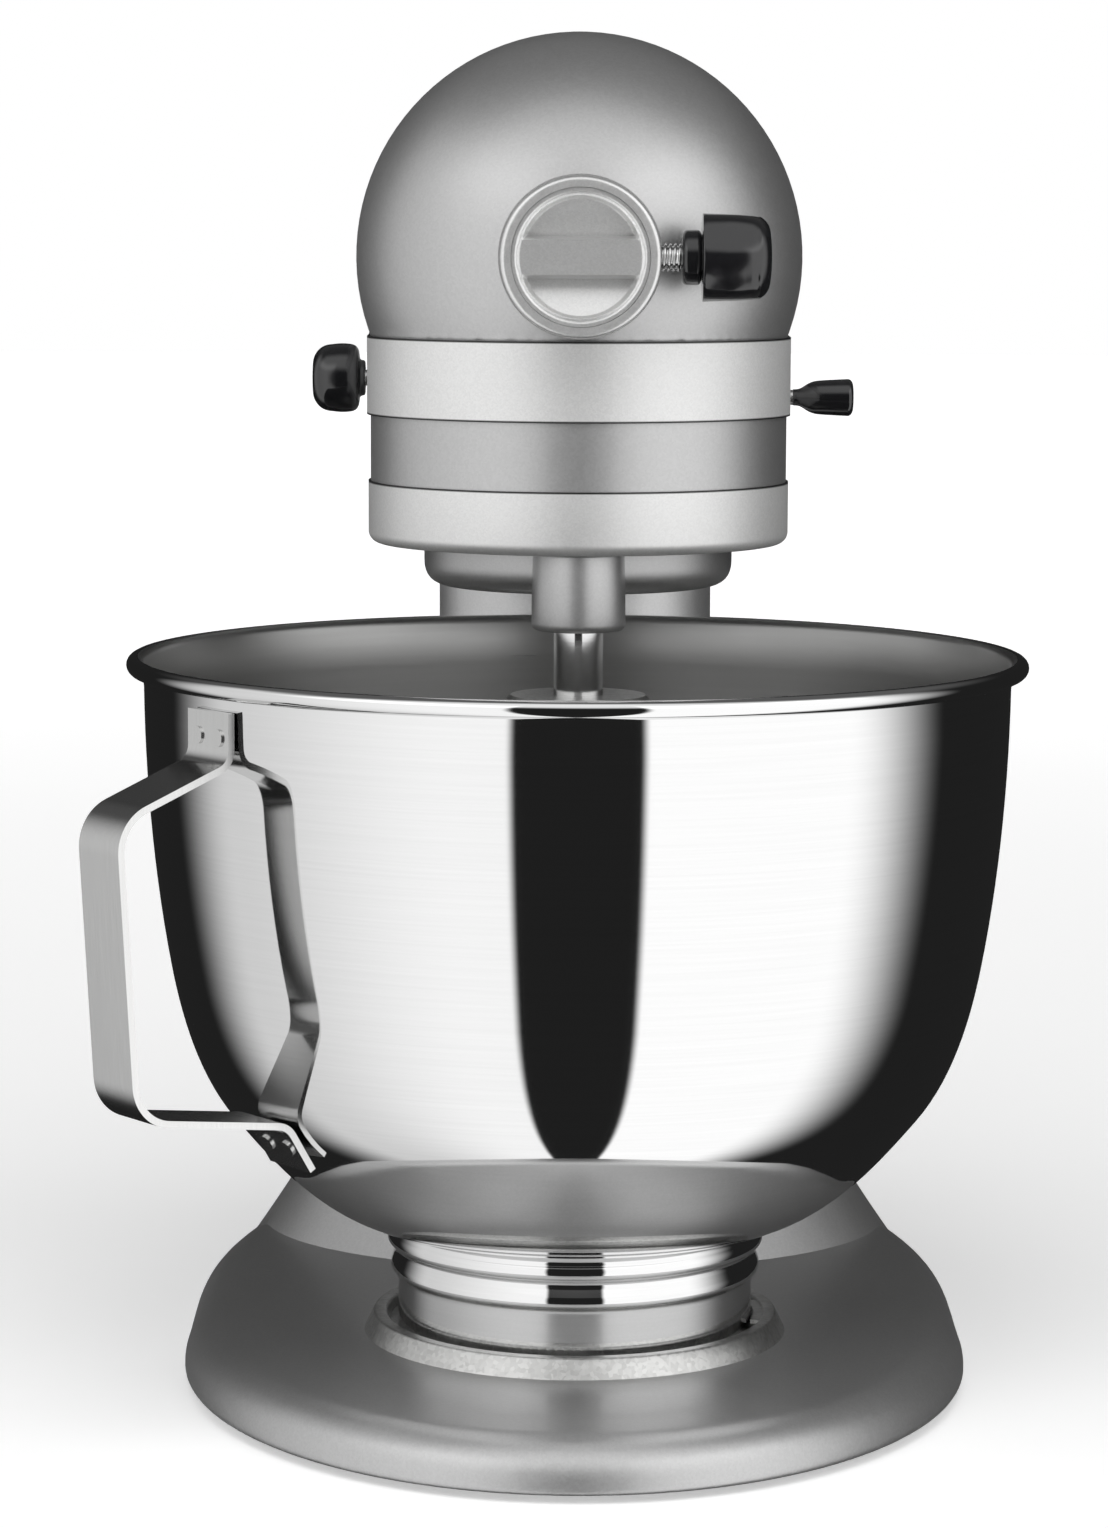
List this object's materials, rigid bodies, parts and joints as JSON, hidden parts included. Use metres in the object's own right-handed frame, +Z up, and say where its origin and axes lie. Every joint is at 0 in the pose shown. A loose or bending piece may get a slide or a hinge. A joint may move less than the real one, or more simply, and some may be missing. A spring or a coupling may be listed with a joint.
{
  "type": "stand mixer",
  "caption": "Tilt-head stand mixer: metallic silver head and base, polished steel bowl with side strap handle, wire whip, attachment hub.",
  "frame": {"origin": "on the bowl's axis at the bench; the flat underside of the base casting is 2 mm above it on its rubber feet", "axes": "+Z up, -Y the front with the attachment hub, +X to the right seen from the front"},
  "size_m": [0.2381, 0.3578, 0.3557],
  "materials": {
    "body_paint": "satin metallic silver paint with a fine sparkle",
    "band_silver": "satin silver",
    "drip_silver": "bright satin",
    "hub_silver": "satin silver",
    "bowl_steel": "polished outside, brushed inside",
    "handle_steel": "bright brushed",
    "clamp_metal": "grainy cast",
    "bright_metal": "bright plated",
    "black_plastic": "gloss",
    "rubber": "matte",
    "machined_steel": "machined",
    "gear_steel": "machined, greased",
    "bronze": "sintered bronze",
    "lamination": "laminated",
    "copper": "enamelled copper",
    "carbon": "matte",
    "board": "matte",
    "zinc": "plain cast"
  },
  "bodies": {
    "stand": {"base_casting": "body_paint", "rubber_feet": "rubber", "bowl_clamp_plate": "clamp_metal", "clamp_plate_screws": "bright_metal", "hinge_pin": "bright_metal", "head_height_screw": "bright_metal"},
    "head": {"lower_housing": "body_paint", "upper_housing": "body_paint", "rear_cover": "body_paint", "rear_cover_screw": "bright_metal", "trim_band": "band_silver", "drip_ring": "drip_silver", "ring_gear": "gear_steel", "hub_barrel": "hub_silver", "hub_bush": "bronze", "planetary_bearings": "machined_steel", "worm_wheel_spindle": "machined_steel", "gearbox_bracket": "zinc", "bracket_screws": "bright_metal", "motor_stator": "lamination", "field_coils": "copper", "rear_motor_bracket": "zinc", "armature_bushes": "bronze", "brush_holders": "black_plastic", "carbon_brushes": "carbon", "brush_springs": "machined_steel", "brush_caps": "black_plastic", "speed_control_board": "board", "cord_inlet": "rubber"},
    "planetary": {"planetary_carrier": "body_paint", "planetary_shaft": "machined_steel", "centre_gear": "gear_steel"},
    "beater": {"beater_shaft": "bright_metal", "beater_cross_pin": "bright_metal", "beater_pinion": "gear_steel", "whip_ferrule": "clamp_metal", "whip_wires": "bright_metal"},
    "worm_gear": {"worm_wheel": "gear_steel"},
    "armature": {"armature_shaft": "machined_steel", "armature_core": "lamination", "commutator": "copper", "cooling_fan": "black_plastic", "speed_governor": "machined_steel"},
    "hub_drive": {"hub_drive_pinion": "gear_steel"},
    "hub_cap": {"hub_cap": "hub_silver"},
    "hub_thumb": {"hub_thumb_screw": "bright_metal", "hub_knob": "black_plastic"},
    "speed_control": {"speed_lever": "machined_steel", "speed_knob": "black_plastic"},
    "head_lock": {"lock_slider": "machined_steel", "lock_knob": "black_plastic"},
    "lock_bolt": {"lock_bolt": "machined_steel"},
    "bowl": {"bowl_shell": "bowl_steel", "bowl_foot": "bowl_steel", "bowl_handle": "handle_steel", "handle_welds": "handle_steel"}
  },
  "joints": [
    {"name": "head_tilt", "type": "hinge", "parent": "stand", "child": "head", "pos_m": [0, 0.165, 0.212], "axis": [-1, 0, 0], "range_deg": [0, 45]},
    {"name": "planetary_spin", "type": "hinge", "parent": "head", "child": "planetary", "pos_m": [0, 0, 0.225], "axis": [0, 0, 1], "continuous": true},
    {"name": "beater_spin", "type": "hinge", "parent": "planetary", "child": "beater", "pos_m": [0, -0.038, 0.2], "axis": [0, 0, 1], "continuous": true},
    {"name": "worm_gear_spin", "type": "hinge", "parent": "head", "child": "worm_gear", "pos_m": [-0.027, 0.036, 0.28], "axis": [0, 0, 1], "continuous": true},
    {"name": "armature_spin", "type": "hinge", "parent": "head", "child": "armature", "pos_m": [0, 0.12, 0.2957], "axis": [0, 1, 0], "continuous": true},
    {"name": "hub_drive_spin", "type": "hinge", "parent": "head", "child": "hub_drive", "pos_m": [0, -0.035, 0.2973], "axis": [0, 1, 0], "continuous": true},
    {"name": "hub_cap_pull", "type": "slide", "parent": "head", "child": "hub_cap", "axis": [0, -1, 0], "range_m": [0, 0.06]},
    {"name": "hub_knob_turn", "type": "hinge", "parent": "head", "child": "hub_thumb", "pos_m": [0.03, -0.062, 0.2973], "axis": [1, 0, 0], "range_deg": [0, 1080]},
    {"name": "speed_slide", "type": "slide", "parent": "head", "child": "speed_control", "axis": [0, 1, 0], "range_m": [0, 0.028]},
    {"name": "lock_slide", "type": "slide", "parent": "head", "child": "head_lock", "axis": [0, 1, 0], "range_m": [0, 0.012]},
    {"name": "lock_bolt_drop", "type": "slide", "parent": "head", "child": "lock_bolt", "axis": [0, 0, -1], "range_m": [0, 0.008]},
    {"name": "bowl_twist", "type": "hinge", "parent": "stand", "child": "bowl", "pos_m": [0, 0, 0.02], "axis": [0, 0, 1], "range_deg": [-25, 0]}
  ],
  "couplings": [
    {"joint": "beater_spin", "follows": "planetary_spin", "ratio": -5.75},
    {"joint": "worm_gear_spin", "follows": "planetary_spin", "ratio": -4},
    {"joint": "armature_spin", "follows": "planetary_spin", "ratio": 40},
    {"joint": "hub_drive_spin", "follows": "planetary_spin", "ratio": -2},
    {"joint": "lock_bolt_drop", "follows": "lock_slide", "ratio": 0.66667}
  ]
}
